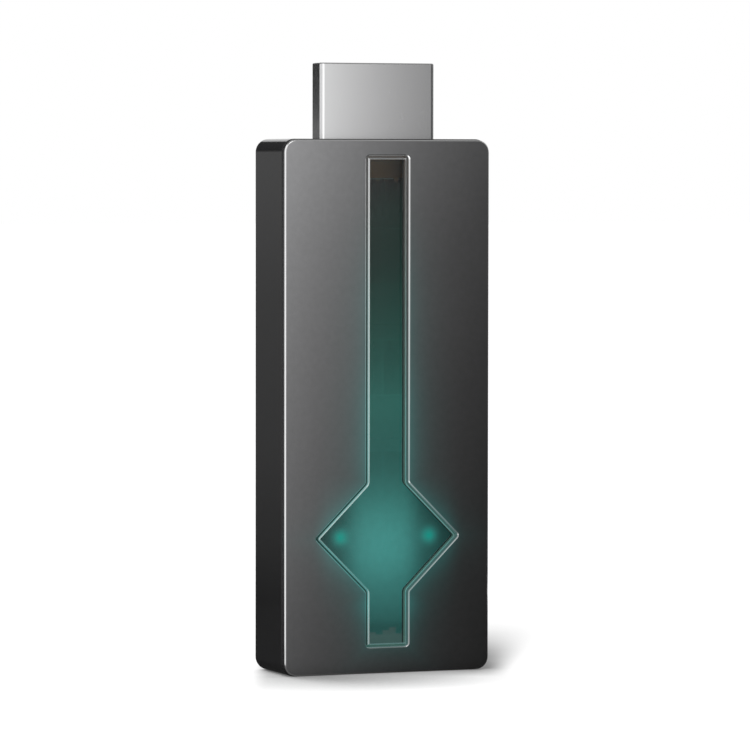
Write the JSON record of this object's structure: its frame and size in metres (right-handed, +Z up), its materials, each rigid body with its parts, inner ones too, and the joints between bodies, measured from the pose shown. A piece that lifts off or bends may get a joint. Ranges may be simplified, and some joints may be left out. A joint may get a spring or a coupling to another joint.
{
  "type": "wireless display dongle",
  "caption": "Slim upright streaming stick with a video plug on top, a bar-and-diamond light window in its metal front, a power port below and a pairing button.",
  "frame": {"origin": "middle of the body's lower end, on the surface it stands on", "axes": "+X to the right seen from the front, -Y out of the front plate, +Z up, along the body towards the video plug"},
  "size_m": [0.025, 0.01, 0.0691],
  "materials": {
    "housing": "black, high gloss",
    "inner_moulding": "black, fine satin",
    "plate": "dark anodised, fine sand-blast, polished chamfers",
    "tape": "black tape",
    "lens": "clear smoked, polished",
    "guide": "milky light guide",
    "lamp": "moulded lamp chip",
    "plug_steel": "nickel-plated, satin",
    "connector_core": "black moulded",
    "gold": "gold-plated",
    "bronze": "phosphor bronze",
    "board": "solder mask",
    "screw_steel": "zinc-plated",
    "chip": "moulded package",
    "pad": "soft silicone",
    "spreader": "rolled sheet",
    "can_steel": "tin-plated",
    "antenna": "white ceramic",
    "ferrite": "dark ferrite",
    "button": "black, gloss",
    "switch_moulding": "black moulded",
    "capacitor": "tan ceramic, tinned ends",
    "resistor": "black, tinned ends"
  },
  "bodies": {
    "dongle": {"board_screws": "screw_steel", "ceramic_capacitors": "capacitor", "chip_antenna": "antenna", "chip_resistors": "resistor", "clock_crystal": "can_steel", "flash_chip": "chip", "front_frame": "inner_moulding", "front_plate": "plate", "heat_spreader": "spreader", "lamp_left": "lamp", "lamp_right": "lamp", "lens_tape": "tape", "light_guide": "guide", "main_board": "board", "memory_chip": "chip", "plate_adhesive": "tape", "plug_ground_clip": "bronze", "power_inductors": "ferrite", "power_port_contacts": "gold", "power_port_shell": "can_steel", "power_port_tongue": "connector_core", "power_regulator": "chip", "processor": "chip", "radio_module": "board", "radio_shield": "can_steel", "rear_housing": "housing", "switch_body": "switch_moulding", "switch_cover": "can_steel", "thermal_pad": "pad", "video_plug_contacts_front": "gold", "video_plug_contacts_rear": "gold", "video_plug_insulator": "connector_core", "video_plug_shell": "plug_steel", "window_lens": "lens"},
    "button": {"mode_button": "button", "switch_plunger": "switch_moulding"}
  },
  "joints": [
    {"name": "mode_button_press", "type": "slide", "parent": "dongle", "child": "button", "axis": [-1, 0, 0], "range_m": [0, 0.0003], "stiffness_N_per_m": 800}
  ]
}
